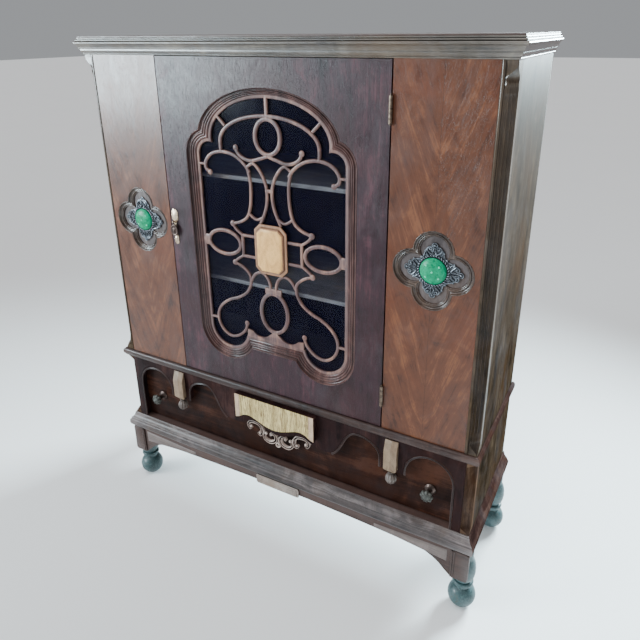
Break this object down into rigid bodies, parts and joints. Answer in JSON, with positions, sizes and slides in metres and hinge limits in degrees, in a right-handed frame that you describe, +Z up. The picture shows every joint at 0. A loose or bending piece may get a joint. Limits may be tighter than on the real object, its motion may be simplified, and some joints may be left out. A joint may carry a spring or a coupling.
{
  "type": "display cabinet",
  "caption": "Upright display cabinet: a glazed fretwork door with a drop pull between fixed side panels, an arched drawer below, moulded base and turned ball feet.",
  "frame": {"origin": "on the floor, under the middle of the cabinet's overall width and depth", "axes": "+X towards the side the door hangs on, -Y out of the front, +Z up"},
  "size_m": [1.066, 0.3594, 1.292],
  "materials": {
    "walnut": "polished brown walnut",
    "figured_walnut": "polished, boldly figured veneer",
    "dark_walnut": "polished purple-brown",
    "fret_wood": "satin pinkish brown",
    "inner_wood": "plain, unpolished",
    "cream_gilt": "carved, painted cream and rubbed with gilt",
    "pewter": "dull grey metal",
    "green_stone": "polished opaque green",
    "brass": "worn",
    "painted_feet": "mottled blue-green over brown",
    "pane": "clear pane"
  },
  "bodies": {
    "case": {"top_board": "walnut", "cornice_front": "walnut", "cornice_left": "walnut", "cornice_right": "walnut", "side_left": "walnut", "side_right": "walnut", "corner_post_left": "walnut", "corner_post_right": "walnut", "waist_moulding_front": "walnut", "waist_moulding_left": "walnut", "waist_moulding_right": "walnut", "base_moulding_front": "walnut", "base_moulding_left": "walnut", "base_moulding_right": "walnut", "apron_front": "walnut", "apron_left": "walnut", "apron_right": "walnut", "front_panel_left": "figured_walnut", "front_panel_right": "figured_walnut", "top_rail": "dark_walnut", "shelf_upper": "inner_wood", "shelf_lower": "inner_wood", "case_floor": "inner_wood", "base_board": "inner_wood", "back_panel": "inner_wood", "apron_block": "cream_gilt", "medallion_left": "pewter", "medallion_right": "pewter", "cabochon_left": "green_stone", "cabochon_right": "green_stone", "hinge_top_case_leaf": "brass", "hinge_bottom_case_leaf": "brass", "foot_front_left": "painted_feet", "foot_front_right": "painted_feet", "foot_rear_left": "painted_feet", "foot_rear_right": "painted_feet"},
    "door": {"door_frame": "dark_walnut", "window_moulding": "dark_walnut", "fretwork": "fret_wood", "window_glass": "pane", "glass_bead": "inner_wood", "fret_plaque": "cream_gilt", "door_catch": "brass", "pull_backplate": "brass", "hinge_top_door_leaf": "brass", "hinge_bottom_door_leaf": "brass"},
    "pull": {"drop_pull": "brass"},
    "drawer": {"drawer_facade": "dark_walnut", "drawer_front": "walnut", "drawer_side_left": "inner_wood", "drawer_side_right": "inner_wood", "drawer_back": "inner_wood", "drawer_bottom": "inner_wood", "drawer_knob_left": "pewter", "drawer_knob_right": "pewter", "drop_ornament_left": "cream_gilt", "drop_ornament_right": "cream_gilt", "reeded_panel": "cream_gilt", "scroll_carving": "cream_gilt"}
  },
  "joints": [
    {"name": "door_hinge", "type": "hinge", "parent": "case", "child": "door", "pos_m": [0.2867, -0.16675, 0.851], "axis": [0, 0, 1], "range_deg": [0, 120]},
    {"name": "pull_swing", "type": "hinge", "parent": "door", "child": "pull", "pos_m": [-0.2725, -0.17025, 0.867], "axis": [-1, 0, 0], "range_deg": [0, 80]},
    {"name": "drawer_slide", "type": "slide", "parent": "case", "child": "drawer", "axis": [0, -1, 0], "range_m": [0, 0.25]}
  ]
}
